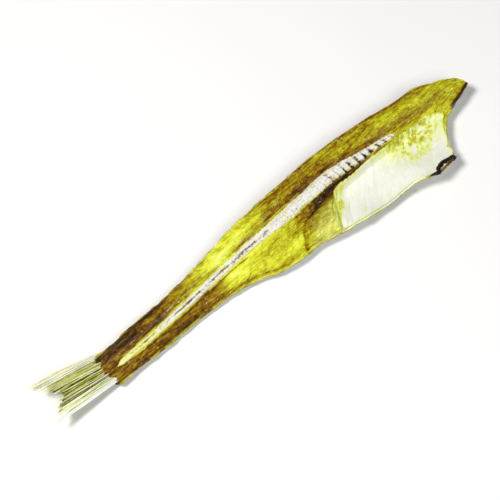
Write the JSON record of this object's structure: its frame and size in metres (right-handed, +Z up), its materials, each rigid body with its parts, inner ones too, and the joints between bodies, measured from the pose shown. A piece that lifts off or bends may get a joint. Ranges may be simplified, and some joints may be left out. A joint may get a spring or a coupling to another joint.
{
  "type": "split dried anchovy half",
  "caption": "Dried anchovy half: headless, gutted and split along the backbone, lying on its skin with the cut side up.",
  "frame": {"origin": "middle of the underside of the bounding box, on the surface the fish lies on", "axes": "+X along the fish from the tail fin to the neck, +Y towards its back, +Z up out of the cut side"},
  "size_m": [0.076, 0.0146, 0.0042],
  "materials": {
    "dried_fish": "satin, translucent dried flesh with silvery belly lining and skin"
  },
  "bodies": {
    "root": {"split_anchovy": "dried_fish"}
  },
  "joints": []
}
